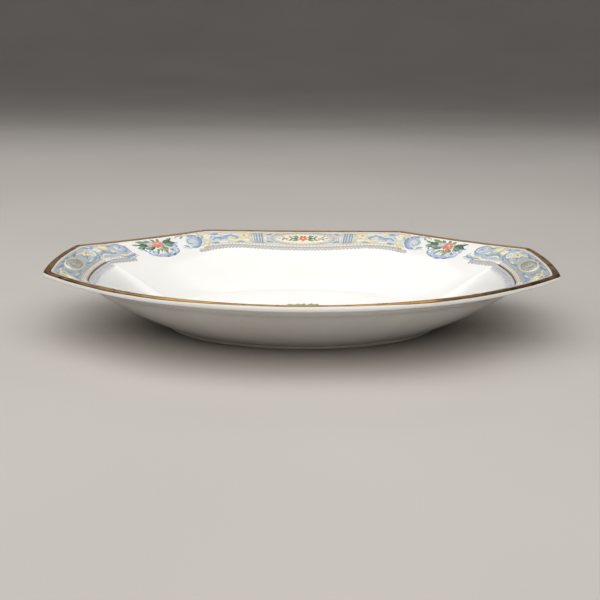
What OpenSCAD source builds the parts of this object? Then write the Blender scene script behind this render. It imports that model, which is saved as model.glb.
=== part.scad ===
// Octagonal porcelain serving bowl with a gilded rim and a printed flower border.
// Millimetres, +Z up. Origin: on the table plane, under the middle of the bowl.
// The long axis of the bowl lies along X.

/* [Bowl] */
// Overall length, across the two short end sides
bowl_len = 250; // [240:1:262]
// Overall width, across the two bowed long sides
bowl_wid = 180; // [174:1:188]
// Height of the rim above the table at the end corners
rim_h = 33; // [31:0.5:37]
// Straight distance between the two corners of a short end side
end_side = 66; // [60:1:74]
// Straight distance between the two corners of a long side
long_side = 115; // [108:1:124]
// How far a long side bows outward at its middle
bow_long = 6.5; // [5:0.5:9]
// How far a short end side bows outward at its middle
bow_end = 2.5; // [1:0.5:4]
// How far the middle of a long side dips below its corners
dip_long = 1.4; // [0.5:0.1:2.5]

/* [Wall] */
// Width of the sloping flange with its gold edge, measured square to the rim
flange_w = 20; // [18:0.5:22]
// Drop of the upper surface across the flange
flange_drop = 7.4; // [6.4:0.2:9]
// Thickness of the rounded lip
lip_t = 2.7; // [2.5:0.1:3.2]
// Height of the upper surface of the floor above the table
floor_z = 5.6; // [5.4:0.1:6.5]
// Half length of the flat floor
floor_hx = 70; // [67:1:74]
// Half width of the flat floor
floor_hy = 47; // [44:1:49]

/* [Foot] */
// Half length of the foot ring
foot_hx = 68.5; // [66:0.5:73]
// Half width of the foot ring
foot_hy = 49; // [47:1:52]
// Height of the foot ring
foot_h = 1.8; // [1.4:0.1:2.2]
// Width of the foot ring's ground base
foot_w = 3.4; // [2.8:0.2:4.4]

/* [Decoration] */
// Width of the gilding on top of the lip
gold_w = 3.6; // [3:0.1:5]
// Thickness of the gilding and of the fired prints
skin_t = 0.12; // [0.1:0.01:0.2]
// Half length of the flower spray in the middle of the floor
spray_hx = 30; // [24:1:34]
// Half width of the flower spray in the middle of the floor
spray_hy = 17; // [13:1:20]

/* [Hidden] */

// corners of the rim octagon in the first quadrant
ax = bowl_len / 2 - bow_end;
ay = end_side / 2;
bx = long_side / 2;
by = bowl_wid / 2 - bow_long;
dz_long = 0;      // the corners of the long sides stand a little higher
bow_diag = 2.2;
dip_diag = 1.0;
dip_end = 0;
// samples along an end side, a diagonal side and a long side
ne = 14;
nd = 16;
nl = 26;
cnt = [ne, nd, nl, nd, ne, nd, nl, nd];
n_all = 2 * ne + 4 * nd + 2 * nl;
// first sample of each side, anticlockwise from the front end of the right side
i_right = 0;
i_back = ne + nd;
i_left = i_back + nl + nd;
i_front = i_left + ne + nd;
// outward normal of a diagonal side, and the mitre directions at both corners
dl = norm([ax - bx, by - ay]);
nx = (by - ay) / dl;
ny = (ax - bx) / dl;
m1 = [1, ny / (1 + nx)];
m2 = [nx / (1 + ny), 1];

function wrap(i) = (i + n_all) % n_all;
function smooth(q) = [for (i = [0:n_all - 1]) (q[wrap(i - 1)] + 6 * q[i] + q[wrap(i + 1)]) / 8];
// Point on a side from p0 to p1 that bows outward and dips in the middle
function side_pt(p0, p1, t, bow, dip) =
    let (d = [p1[0] - p0[0], p1[1] - p0[1]], l = norm(d), k = 4 * t * (1 - t))
    [p0[0] + d[0] * t + k * bow * d[1] / l,
     p0[1] + d[1] * t - k * bow * d[0] / l,
     p0[2] + (p1[2] - p0[2]) * t - k * dip];
// Closed curve that runs w inside the rim at height z, with soft corners.
// kb scales how far the sides bow.
function octo(w, z, kb = 1) =
    let (a = ax - w * m1[0], c = ay - w * m1[1], d = bx - w * m2[0], b = by - w * m2[1],
        h = z + dz_long,
        v = [[a, -c, z], [a, c, z], [d, b, h], [-d, b, h],
             [-a, c, z], [-a, -c, z], [-d, -b, h], [d, -b, h]],
        bow = [bow_end, bow_diag, bow_long, bow_diag, bow_end, bow_diag, bow_long, bow_diag],
        dip = [dip_end, dip_diag, dip_long, dip_diag, dip_end, dip_diag, dip_long, dip_diag])
    smooth([for (s = [0:7]) for (k = [0:cnt[s] - 1])
        side_pt(v[s], v[(s + 1) % 8], k / cnt[s], bow[s] * kb, dip[s])]);
rim0 = octo(0, 0);
// Ellipse with one point for each sample of the rim
function oval(hx, hy, z) = [for (p = rim0)
    let (f = atan2(p[1] * bowl_len, p[0] * bowl_wid)) [hx * cos(f), hy * sin(f), z]];
// Ring between two rings: u is the share of the way in plan, s the share of the drop
function between(r0, r1, u, s) = [for (i = [0:n_all - 1])
    [r0[i][0] + (r1[i][0] - r0[i][0]) * u, r0[i][1] + (r1[i][1] - r0[i][1]) * u,
     r0[i][2] + (r1[i][2] - r0[i][2]) * s]];

// flange, its gold line and the lip, as rings from the well outwards
in_edge = octo(flange_w, rim_h - flange_drop, 0.9);
in_mid = octo(flange_w * 0.6, rim_h - flange_drop * 0.515, 0.95);
gold_line = octo(gold_w + 0.35, rim_h - 0.62);
gold_edge = octo(gold_w, rim_h - 0.5);
// [distance inside the outline, depth below the rim] round the lip
lip = [[1.5, 0], [0.85, 0.35], [0.25, 1.25], [0, lip_t - 0.6], [0.4, lip_t]];
lip_rings = [for (q = lip) octo(q[0], rim_h - q[1])];
// wall of the well down to the oval floor
in_floor = oval(floor_hx, floor_hy, floor_z);
upper = [
    oval(floor_hx * 0.4, floor_hy * 0.4, floor_z),
    oval(floor_hx * 0.8, floor_hy * 0.8, floor_z),
    between(in_edge, in_floor, 0.98, 0.985),
    between(in_edge, in_floor, 0.88, 0.91),
    between(in_edge, in_floor, 0.70, 0.72),
    between(in_edge, in_floor, 0.48, 0.47),
    between(in_edge, in_floor, 0.24, 0.205),
    in_edge, in_mid, gold_line, gold_edge];
// underside, from the lip down to the foot and its recess
out_edge = octo(flange_w, rim_h - flange_drop - 3, 0.9);
out_foot = oval(foot_hx, foot_hy, foot_h);
in_foot = oval(foot_hx - foot_w, foot_hy - foot_w, foot_h);
function under(u) = [for (i = [0:n_all - 1])
    out_edge[i] + (out_foot[i] - out_edge[i]) * u - [0, 0, 8.8 * u * (1 - u)]];
lower = [
    octo(flange_w * 0.55, rim_h - flange_drop * 0.54 - 2.9, 0.95), out_edge,
    under(0.22), under(0.45), under(0.68), under(0.88), out_foot, in_foot,
    oval(foot_hx - foot_w - 2, foot_hy - foot_w - 2, foot_h + 0.4)];

// Triangles between consecutive rows of n points each, in one flat point list
function tris(rows, n, closed) = [for (j = [0:rows - 2]) for (i = [0:(closed ? n - 1 : n - 2)])
    let (a = j * n + i, b = j * n + (i + 1) % n) each [[a, b, b + n], [a, b + n, a + n]]];
function join(rows) = [for (r = rows) each r];

// Closed shell through rings that run from the top centre over the lip to the bottom centre
module shell(rings, z_top, z_bot) {
    m = len(rings);
    top = m * n_all;
    polyhedron(
        points = concat(join(rings), [[0, 0, z_top], [0, 0, z_bot]]),
        faces = concat(tris(m, n_all, true),
            [for (i = [0:n_all - 1]) [top, (i + 1) % n_all, i]],
            [for (i = [0:n_all - 1]) [top + 1, (m - 1) * n_all + i, (m - 1) * n_all + (i + 1) % n_all]]),
        convexity = 6);
}
// Thin band right round the bowl between an outer and an inner set of rings
module loop_skin(outer, inner) {
    m = len(outer);
    k = 2 * m;
    polyhedron(
        points = join(concat(outer, [for (j = [m - 1:-1:0]) inner[j]])),
        faces = [for (f = tris(k + 1, n_all, true)) [for (v = f) v % (k * n_all)]],
        convexity = 6);
}
// Thin patch that lies on the given rings from sample i0 to sample i1
module patch(rings, i0, i1) {
    m = len(rings);
    n = i1 - i0 + 1;
    k = m * n;
    e = (m - 1) * n;
    bot = join([for (r = rings) [for (i = [i0:i1]) r[wrap(i)]]]);
    polyhedron(
        points = concat([for (p = bot) p + [0, 0, skin_t]], bot),
        faces = concat(
            tris(m, n, false),
            [for (f = tris(m, n, false)) [f[0] + k, f[2] + k, f[1] + k]],
            [for (i = [0:n - 2]) each [[i, i + k, i + 1 + k], [i, i + 1 + k, i + 1]]],
            [for (i = [e:e + n - 2]) each [[i, i + 1, i + 1 + k], [i, i + 1 + k, i + k]]],
            [for (j = [0:m - 2]) let (a = j * n, b = a + n) each [[a, b, b + k], [a, b + k, a + k]]],
            [for (j = [0:m - 2]) let (a = j * n + n - 1, b = a + n) each [[a, b + k, b], [a, a + k, b + k]]]),
        convexity = 6);
}
print_rings = [in_edge, in_mid, gold_line];

module bowl_body() {
    color([0.95, 0.94, 0.90]) shell(concat(upper, lip_rings, lower), floor_z, foot_h + 0.6);
}
module foot_ring() {
    color([0.90, 0.87, 0.80]) linear_extrude(height = foot_h) difference() {
        polygon([for (p = out_foot) [p[0], p[1]]]);
        polygon([for (p = in_foot) [p[0], p[1]]]);
    }
}
// The gilding covers the top of the lip, turns over its crest and ends half
// way down the outer face
module rim_gold_band() {
    t = skin_t;
    color([0.80, 0.62, 0.25]) loop_skin(
        [octo(gold_w, rim_h - 0.5 + t), octo(1.5, rim_h + t), octo(0.85 - t * 0.5, rim_h - 0.35 + t * 0.9),
            octo(0.25 - t * 0.85, rim_h - 1.25 + t * 0.5)],
        [gold_edge, lip_rings[0], lip_rings[1], lip_rings[2]]);
}
module border_print(i0, i1) { color([0.62, 0.72, 0.82]) patch(print_rings, i0, i1); }
module bouquet_print(i0, i1) { color([0.80, 0.45, 0.30]) patch(print_rings, i0, i1); }
// The end borders turn both corners and run 6 samples along the diagonals
module border_print_right() { border_print(i_right - 6, i_right + ne + 6); }
module border_print_left() { border_print(i_left - 6, i_left + ne + 6); }
module border_print_back() { border_print(i_back - 3, i_back + nl + 3); }
module border_print_front() { border_print(i_front - 3, i_front + nl + 3); }
// One bouquet in the white gap of each diagonal side
module bouquet_print_back_right() { bouquet_print(i_right + ne + 7, i_right + ne + 12); }
module bouquet_print_back_left() { bouquet_print(i_left - 12, i_left - 7); }
module bouquet_print_front_left() { bouquet_print(i_left + ne + 7, i_left + ne + 12); }
module bouquet_print_front_right() { bouquet_print(i_right + n_all - 12, i_right + n_all - 7); }
module centre_spray_print() {
    color([0.45, 0.60, 0.40]) translate([0, 0, floor_z]) linear_extrude(height = skin_t)
        polygon([for (a = [0:7.5:359]) [spray_hx * cos(a), spray_hy * sin(a)]]);
}

bowl_body();
foot_ring();
rim_gold_band();
border_print_left();
border_print_right();
border_print_front();
border_print_back();
bouquet_print_front_left();
bouquet_print_front_right();
bouquet_print_back_left();
bouquet_print_back_right();
centre_spray_print();
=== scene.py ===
import math

import bpy
import numpy as np
from mathutils import Matrix, Vector


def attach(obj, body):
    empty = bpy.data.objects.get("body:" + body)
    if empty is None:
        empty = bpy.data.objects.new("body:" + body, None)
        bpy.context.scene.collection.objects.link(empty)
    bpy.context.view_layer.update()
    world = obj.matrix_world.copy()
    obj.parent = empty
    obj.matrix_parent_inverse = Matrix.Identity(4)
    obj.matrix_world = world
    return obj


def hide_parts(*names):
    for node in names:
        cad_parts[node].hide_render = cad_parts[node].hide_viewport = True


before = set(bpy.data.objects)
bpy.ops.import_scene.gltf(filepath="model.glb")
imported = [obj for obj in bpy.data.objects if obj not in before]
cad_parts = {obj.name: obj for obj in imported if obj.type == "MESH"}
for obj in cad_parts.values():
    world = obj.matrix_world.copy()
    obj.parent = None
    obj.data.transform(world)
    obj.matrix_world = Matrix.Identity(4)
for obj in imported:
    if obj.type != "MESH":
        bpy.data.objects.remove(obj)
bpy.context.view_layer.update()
MM = 0.001
rng = np.random.default_rng(7)

# ------------------------------------------------------------------ the bowl's surface, in mm
# The same dimensions and curves as part.scad, sampled four times as finely.
LEN, WID, RIM_H = 250.0, 180.0, 33.0
END_SIDE, LONG_SIDE = 66.0, 115.0
BOW = (2.49, 2.2, 6.49, 2.2) * 2
DIP = (0.0, 1.0, 1.4, 1.0) * 2
DZ_LONG = 0.0
FL_W, FL_DROP = 20.0, 7.4
LIP_T = 2.7
FLOOR_Z, FLOOR_HX, FLOOR_HY = 5.6, 70.0, 47.0
FOOT_HX, FOOT_HY, FOOT_H, FOOT_W = 68.5, 49.0, 1.8, 3.4
GOLD_W = 3.6
MUL = 4
CNT = [14 * MUL, 16 * MUL, 26 * MUL, 16 * MUL] * 2
N = sum(CNT)
START = [sum(CNT[:k]) for k in range(8)]
AX, AY = LEN / 2 - 2.5, END_SIDE / 2
BX, BY = LONG_SIDE / 2, WID / 2 - 6.5
_dl = math.hypot(AX - BX, BY - AY)
_nx, _ny = (BY - AY) / _dl, (AX - BX) / _dl
M1 = (1.0, _ny / (1 + _nx))
M2 = (_nx / (1 + _ny), 1.0)
PASSES = 4


def smooth_closed(q, passes=PASSES):
    for _ in range(passes):
        q = (np.roll(q, 1, 0) + 2 * q + np.roll(q, -1, 0)) / 4
    return q


def octo(w, z, kb=1.0):
    """closed octagonal curve w inside the rim at height z, with bowed sides and soft corners"""
    a, c = AX - w * M1[0], AY - w * M1[1]
    d, b = BX - w * M2[0], BY - w * M2[1]
    h = z + DZ_LONG
    v = [(a, -c, z), (a, c, z), (d, b, h), (-d, b, h), (-a, c, z), (-a, -c, z), (-d, -b, h), (d, -b, h)]
    out = []
    for k in range(8):
        p0, p1 = np.array(v[k]), np.array(v[(k + 1) % 8])
        t = (np.arange(CNT[k]) / CNT[k])[:, None]
        q = p0 + (p1 - p0) * t
        dv = (p1 - p0)[:2]
        nr = np.array([dv[1], -dv[0]]) / np.linalg.norm(dv)
        f = 4 * t * (1 - t)
        q[:, :2] += f * nr * BOW[k] * kb
        q[:, 2:] -= f * DIP[k]
        out.append(q)
    return smooth_closed(np.vstack(out))


RIM0 = octo(0, 0)
PHI = np.arctan2(RIM0[:, 1] * LEN, RIM0[:, 0] * WID)


def oval(hx, hy, z):
    return np.stack([hx * np.cos(PHI), hy * np.sin(PHI), np.full(N, float(z))], 1)


def hermite(xs, ys, x):
    """smooth monotone curve through the points"""
    xs, ys, x = np.asarray(xs, float), np.asarray(ys, float), np.asarray(x, float)
    h = np.diff(xs)
    d = np.diff(ys) / h
    m = np.zeros(len(xs))
    s = d[:-1] + d[1:]
    m[1:-1] = np.where(d[:-1] * d[1:] > 0, 2 * d[:-1] * d[1:] / np.where(s == 0, 1, s), 0)
    m[0], m[-1] = d[0], d[-1]
    k = np.clip(np.searchsorted(xs, x, side="right") - 1, 0, len(xs) - 2)
    t = (x - xs[k]) / h[k]
    return ((1 + 2 * t) * (1 - t) ** 2 * ys[k] + t * (1 - t) ** 2 * h[k] * m[k]
            + t * t * (3 - 2 * t) * ys[k + 1] + t * t * (t - 1) * h[k] * m[k + 1])


def kbow(w):
    return 1.0 if w <= GOLD_W else 1.0 - 0.1 * (w - GOLD_W) / (FL_W - GOLD_W)


def depth(w):
    return float(hermite([1.5, GOLD_W, 8.0, 12.0, 16.0, FL_W], [0.0, 0.50, 2.05, 3.81, 5.60, FL_DROP], [w])[0])


IN_EDGE = octo(FL_W, RIM_H - FL_DROP, 0.9)
IN_FLOOR = oval(FLOOR_HX, FLOOR_HY, FLOOR_Z)


def wall(u):
    s = float(hermite([0, 0.24, 0.48, 0.70, 0.88, 1.0], [0, 0.205, 0.47, 0.72, 0.91, 1.0], [u])[0])
    q = IN_EDGE.copy()
    q[:, :2] += (IN_FLOOR - IN_EDGE)[:, :2] * u
    q[:, 2] += (IN_FLOOR - IN_EDGE)[:, 2] * s
    return q


def soften(rows, a, b, passes):
    """smooths rows a to b along the section, so that the turn between two zones is soft"""
    w = rows.copy()
    for _ in range(passes):
        s = w.copy()
        s[a:b] = (w[a - 1:b - 1] + 2 * w[a:b] + w[a + 1:b + 1]) / 4
        w = s
    return w


# upper surface, from the crest of the lip to the floor; V is the distance inside the rim in mm
V_ROWS, rows = [], []
for w in list(np.linspace(1.5, GOLD_W, 5)) + list(np.arange(5.0, 20.01, 0.75)):
    V_ROWS.append(w)
    rows.append(octo(w, RIM_H - depth(w), kbow(w)))
for u in np.linspace(0, 1, 31)[1:]:
    V_ROWS.append(FL_W + 30 * u)
    rows.append(wall(u))
V_ROWS = np.array(V_ROWS)
ROWS = soften(np.array(rows), 10, len(rows) - 1, 10)
for _k in range(3):   # let the wall run into the flat floor
    ROWS[-2 - _k, :, 2] = np.maximum(ROWS[-2 - _k, :, 2], FLOOR_Z)
MID = octo(12.0, 0, kbow(12.0))[:, :2]
CUM = np.concatenate([[0], np.cumsum(np.linalg.norm(np.roll(MID, -1, 0) - MID, axis=1))])
TOT = CUM[-1]
MIDARC = [CUM[START[k] + CNT[k] // 2] for k in range(8)]


def index_at(side, x):
    """sample number at x mm from the middle of a side, anticlockwise, along the middle of the flange"""
    return np.interp(np.mod(MIDARC[side] + np.asarray(x, float), TOT), CUM, np.arange(N + 1))


def grid_pt(i, v):
    i0 = np.floor(i).astype(int)
    fi = (i - i0)[..., None]
    i0 = i0 % N
    i1 = (i0 + 1) % N
    j = np.clip(np.searchsorted(V_ROWS, v, side="right") - 1, 0, len(V_ROWS) - 2)
    fj = ((v - V_ROWS[j]) / (V_ROWS[j + 1] - V_ROWS[j]))[..., None]
    a = ROWS[j, i0] * (1 - fi) + ROWS[j, i1] * fi
    b = ROWS[j + 1, i0] * (1 - fi) + ROWS[j + 1, i1] * fi
    return a * (1 - fj) + b * fj


def on_bowl(side, x, v, h):
    """points on the upper surface, h mm above it"""
    i, v = index_at(side, x), np.asarray(v, float)
    p = grid_pt(i, v)
    n = np.cross(grid_pt(i, v + 0.4) - grid_pt(i, v - 0.4), grid_pt(i + 0.5, v) - grid_pt(i - 0.5, v))
    n /= np.linalg.norm(n, axis=-1, keepdims=True)
    n *= np.where(n[..., 2:] < 0, -1, 1)
    return p + n * np.asarray(h, float)[..., None]


# ------------------------------------------------------------------ mesh helpers
def make(name, verts, faces, mats, smooth=True, index=None):
    me = bpy.data.meshes.new(name)
    me.from_pydata([tuple(v) for v in np.asarray(verts) * MM], [], faces)
    me.validate()
    for m in mats:
        me.materials.append(m)
    if index is not None:
        me.polygons.foreach_set("material_index", index)
    me.polygons.foreach_set("use_smooth", [smooth] * len(me.polygons))
    me.update()
    ob = bpy.data.objects.new(name, me)
    bpy.context.collection.objects.link(ob)
    return ob


def ring_faces(rows_n, n=None, first=0, flip=False):
    n = n or N
    out = []
    for j in range(rows_n - 1):
        for i in range(n):
            a, b = first + j * n + i, first + j * n + (i + 1) % n
            f = (a, a + n, b + n, b)
            out.append(f[::-1] if flip else f)
    return out


# ------------------------------------------------------------------ materials
def srgb(r, g, b):
    def f(c):
        c /= 255.0
        return c / 12.92 if c <= 0.04045 else ((c + 0.055) / 1.055) ** 2.4
    return (f(r), f(g), f(b), 1.0)


def shade(col, k):
    return (min(1, col[0] * k), min(1, col[1] * k), min(1, col[2] * k), 1.0)


def material(name, a, b, scale, rough, rough_var=0.03, metallic=0.0, bump=0.0, bump_scale=400.0,
             coat=0.0, detail=3.0, stretch=(1, 1, 1), ior=1.5, low=0.3, high=0.7):
    """principled surface whose colour drifts between a and b, with its own roughness drift and fine relief"""
    m = bpy.data.materials.new(name)
    m.use_nodes = True
    nt = m.node_tree
    p = nt.nodes["Principled BSDF"]
    p.inputs["Metallic"].default_value = metallic
    p.inputs["IOR"].default_value = ior
    p.inputs["Coat Weight"].default_value = coat
    p.inputs["Coat Roughness"].default_value = 0.06
    tc = nt.nodes.new("ShaderNodeTexCoord")
    mp = nt.nodes.new("ShaderNodeMapping")
    mp.inputs["Scale"].default_value = stretch
    nt.links.new(tc.outputs["Object"], mp.inputs["Vector"])
    nz = nt.nodes.new("ShaderNodeTexNoise")
    nz.inputs["Scale"].default_value = scale
    nz.inputs["Detail"].default_value = detail
    nt.links.new(mp.outputs["Vector"], nz.inputs["Vector"])
    cr = nt.nodes.new("ShaderNodeValToRGB")
    cr.color_ramp.elements[0].position = low
    cr.color_ramp.elements[0].color = a
    cr.color_ramp.elements[1].position = high
    cr.color_ramp.elements[1].color = b
    nt.links.new(nz.outputs["Fac"], cr.inputs["Fac"])
    nt.links.new(cr.outputs["Color"], p.inputs["Base Color"])
    mr = nt.nodes.new("ShaderNodeMapRange")
    mr.inputs["From Min"].default_value = 0.3
    mr.inputs["From Max"].default_value = 0.7
    mr.inputs["To Min"].default_value = rough - rough_var
    mr.inputs["To Max"].default_value = rough + rough_var
    nt.links.new(nz.outputs["Fac"], mr.inputs["Value"])
    nt.links.new(mr.outputs["Result"], p.inputs["Roughness"])
    if bump:
        n2 = nt.nodes.new("ShaderNodeTexNoise")
        n2.inputs["Scale"].default_value = bump_scale
        n2.inputs["Detail"].default_value = 2.0
        nt.links.new(mp.outputs["Vector"], n2.inputs["Vector"])
        bp = nt.nodes.new("ShaderNodeBump")
        bp.inputs["Strength"].default_value = 1.0
        bp.inputs["Distance"].default_value = bump
        nt.links.new(n2.outputs["Fac"], bp.inputs["Height"])
        nt.links.new(bp.outputs["Normal"], p.inputs["Normal"])
    return m


PORCELAIN = material("porcelain_glaze", srgb(239, 237, 232), srgb(243, 242, 238), 22.0, 0.16, 0.03,
                     bump=0.00003, bump_scale=26.0, coat=0.15, detail=2.0)
FOOT_GLAZE = material("foot_glaze", srgb(232, 226, 213), srgb(238, 233, 222), 60.0, 0.2, 0.04,
                      bump=0.00005, bump_scale=120.0, detail=3.0)
BISCUIT = material("unglazed_foot_base", srgb(196, 186, 168), srgb(228, 220, 204), 900.0, 0.82, 0.06,
                   bump=0.00008, bump_scale=2600.0, detail=5.0)
GOLD = material("burnished_gold", srgb(130, 96, 54), srgb(176, 138, 84), 140.0, 0.30, 0.07, metallic=1.0,
                bump=0.00003, bump_scale=900.0, detail=4.0, stretch=(1, 1, 3))

# ------------------------------------------------------------------ bowl body
floor_rows = [oval(FLOOR_HX * t, FLOOR_HY * t, FLOOR_Z) for t in (0.06, 0.2, 0.35, 0.5, 0.65, 0.8, 0.92)]
LIP = [(1.16, 0.09), (0.86, 0.30), (0.60, 0.60), (0.38, 0.96), (0.20, 1.34), (0.07, 1.74), (0.0, 2.12), (0.06, 2.42),
       (0.24, 2.62), (0.50, 2.74)]
lip_rows = [octo(w, RIM_H - d) for w, d in LIP]
under_rows = []
for w in np.linspace(0.50, FL_W, 22)[1:]:
    d = float(hermite([0.50, 4.0, 11.0, FL_W], [2.74, 4.02, 6.9, FL_DROP + 3], [w])[0])
    under_rows.append(octo(w, RIM_H - d, kbow(w)))
OUT_EDGE, OUT_FOOT = under_rows[-1], oval(FOOT_HX, FOOT_HY, FOOT_H)
for u in np.linspace(0, 1, 29)[1:]:
    q = OUT_EDGE + (OUT_FOOT - OUT_EDGE) * u
    q[:, 2] -= 8.8 * u * (1 - u)
    under_rows.append(q)
low = soften(np.array(lip_rows + under_rows), 12, 10 + len(under_rows) - 3, 9)
base_rows = [oval(FOOT_HX - FOOT_W - t, FOOT_HY - FOOT_W - t, FOOT_H + z)
             for t, z in ((0, 0.0), (0.25, 0.18), (0.8, 0.34), (2.0, 0.4), (20, 0.5), (38, 0.58))]
BODY_ROWS = np.concatenate([np.array(floor_rows), ROWS[::-1], low, np.array(base_rows)])
nr = len(BODY_ROWS)
verts = np.vstack([BODY_ROWS.reshape(-1, 3), [[0, 0, FLOOR_Z], [0, 0, FOOT_H + 0.6]]])
faces = ring_faces(nr)
top, bot = nr * N, nr * N + 1
faces += [(top, i, (i + 1) % N) for i in range(N)]
faces += [(bot, (nr - 1) * N + (i + 1) % N, (nr - 1) * N + i) for i in range(N)]
body = make("bowl_body_glazed", verts, faces, [PORCELAIN])
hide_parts("bowl_body")
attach(body, "root")

# ------------------------------------------------------------------ foot ring, rounded, with a ground base
FOOT = [(0.45, 1.80), (0.30, 1.62), (0.10, 1.40), (0.0, 1.05), (0.05, 0.70), (0.22, 0.36), (0.50, 0.12), (0.85, 0.0),
        (1.6, 0.0), (2.3, 0.0), (2.72, 0.10), (3.0, 0.34), (3.2, 0.75), (3.32, 1.25), (3.4, 1.80)]
rows = np.array([oval(FOOT_HX - t, FOOT_HY - t, z) for t, z in FOOT])
k = len(FOOT)
faces = ring_faces(k)
faces += [((k - 1) * N + i, i, (i + 1) % N, (k - 1) * N + (i + 1) % N) for i in range(N)]
mat_index = [1 if 6 <= (f // N) <= 9 else 0 for f in range(len(faces))]
foot = make("foot_ring_turned", rows.reshape(-1, 3), faces, [FOOT_GLAZE, BISCUIT], index=mat_index)
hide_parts("foot_ring")
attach(foot, "root")

# ------------------------------------------------------------------ gilding over the lip
GT = 0.07
ang = np.arange(N) / N * 2 * math.pi
waver = 0.10 * np.sin(7 * ang + 0.4) + 0.07 * np.sin(19 * ang + 1.3) + 0.04 * np.sin(47 * ang)
waver2 = 0.08 * np.sin(9 * ang + 2.0) + 0.06 * np.sin(23 * ang) + 0.03 * np.sin(61 * ang + 1)
sec = [(w, depth(w)) for w in np.linspace(GOLD_W, 1.5, 8)] + [(1.33, 0.03), (1.16, 0.09), (1.00, 0.19), (0.86, 0.30),
                                                                   (0.79, 0.38), (0.72, 0.46)]
sec = np.array(sec)
tan = np.gradient(sec, axis=0)
tan /= np.linalg.norm(tan, axis=1, keepdims=True)
nrm = np.stack([-tan[:, 1], tan[:, 0]], 1)
ks = len(sec)
# it comes further down the lip at the ends and diagonals than in the middle of the long sides
edge = octo(0.0, RIM_H)
low = np.clip((np.abs(edge[:, 0]) - 22) / 34, 0, 1)
low = (low * low * (3 - 2 * low))[:, None]
FAR = {ks - 2: (0.60, 0.60), ks - 1: (0.40, 0.92)}
outer, inner = [], []
for j, ((w, d), (nw, nd)) in enumerate(zip(sec, nrm)):
    t = GT * min(1.0, 0.3 + 0.7 * min(j, ks - 1 - j) / 2)
    o, b = octo(w + nw * t, RIM_H - d - nd * t), octo(w - nw * 0.04, RIM_H - d + nd * 0.04)
    if j in FAR:
        fw, fd = FAR[j]
        o += (octo(fw + nw * t, RIM_H - fd - nd * t) - o) * low
        b += (octo(fw - nw * 0.04, RIM_H - fd + nd * 0.04) - b) * low
    if j == 0:
        step = (octo(w + 0.5, RIM_H - depth(w + 0.5)) - octo(w, RIM_H - depth(w))) * 2
        o, b = o + step * waver[:, None], b + step * waver[:, None]
    if j == ks - 1:
        step = (octo(0.60, RIM_H - 0.60) - octo(0.86, RIM_H - 0.30)) * 1.4
        o, b = o + step * waver2[:, None], b + step * waver2[:, None]
    outer.append(o)
    inner.append(b)
rows = np.array(outer + inner[::-1])
k = len(rows)
faces = ring_faces(k) + [((k - 1) * N + i, i, (i + 1) % N, (k - 1) * N + (i + 1) % N) for i in range(N)]
gold = make("rim_gold_band_gilding", rows.reshape(-1, 3), faces, [GOLD])
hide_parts("rim_gold_band")
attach(gold, "root")

# ------------------------------------------------------------------ painted decoration
# Each colour is its own thin layer of enamel plates that lie on the glaze. A plate is drawn in flat
# coordinates, x along the flange and w inside the rim, and is laid on the bowl afterwards.
def ink(name, a, b, rough=0.2, scale=420.0):
    return material(name, srgb(*a), srgb(*b), scale, rough, 0.05, bump=0.00001, bump_scale=2200.0,
                    coat=0.25, detail=4.0)


INKS = {
    "ground": ink("enamel_grey_blue", (174, 184, 191), (190, 198, 200)),
    "pale": ink("enamel_pale_blue", (198, 206, 210), (214, 219, 218)),
    "cream": ink("enamel_cream", (236, 233, 218), (240, 228, 208), scale=260.0),
    "yellow": ink("enamel_yellow", (240, 229, 184), (236, 213, 154)),
    "blue": ink("enamel_blue", (130, 156, 182), (146, 177, 195)),
    "lilac": ink("enamel_lilac", (164, 174, 216), (190, 200, 232)),
    "brown": ink("enamel_brown", (92, 68, 54), (120, 92, 72)),
    "tan": ink("enamel_tan_grey", (176, 164, 156), (198, 188, 178)),
    "grey": ink("enamel_soft_grey", (180, 178, 178), (196, 194, 192)),
    "sage": ink("enamel_sage", (170, 176, 166), (192, 197, 188)),
    "green": ink("enamel_green", (96, 140, 90), (128, 164, 112)),
    "dark": ink("enamel_dark_green", (58, 90, 80), (76, 108, 88)),
    "olive": ink("enamel_olive", (142, 146, 116), (164, 164, 134)),
    "moss": ink("enamel_moss", (112, 132, 62), (134, 150, 82), rough=0.45),
    "orange": ink("enamel_orange", (230, 98, 60), (238, 142, 98)),
    "mauve": ink("enamel_mauve", (196, 168, 184), (222, 202, 212)),
    "navy": ink("enamel_slate", (84, 104, 134), (110, 134, 158)),
}
LAYER = {"ground": 0.040, "pale": 0.040, "grey": 0.062, "tan": 0.066, "sage": 0.084, "cream": 0.098, "blue": 0.112,
         "olive": 0.120, "navy": 0.126, "lilac": 0.134, "yellow": 0.142, "mauve": 0.150, "dark": 0.156, "green": 0.166,
         "orange": 0.178, "brown": 0.150, "moss": 0.172}
SUNK = -0.03


def curve(pts, n=24):
    """smooth open curve through the points"""
    p = np.asarray(pts, float)
    if len(p) == 2:
        return p[0] + (p[1] - p[0]) * np.linspace(0, 1, n)[:, None]
    q = np.vstack([2 * p[0] - p[1], p, 2 * p[-1] - p[-2]])
    s = np.linspace(0, len(p) - 1, n)
    k = np.minimum(s.astype(int), len(p) - 2)
    t = (s - k)[:, None]
    a, b, c, d = q[k], q[k + 1], q[k + 2], q[k + 3]
    return 0.5 * (2 * b + (c - a) * t + (2 * a - 5 * b + 4 * c - d) * t ** 2 + (3 * b - a - 3 * c + d) * t ** 3)


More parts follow.
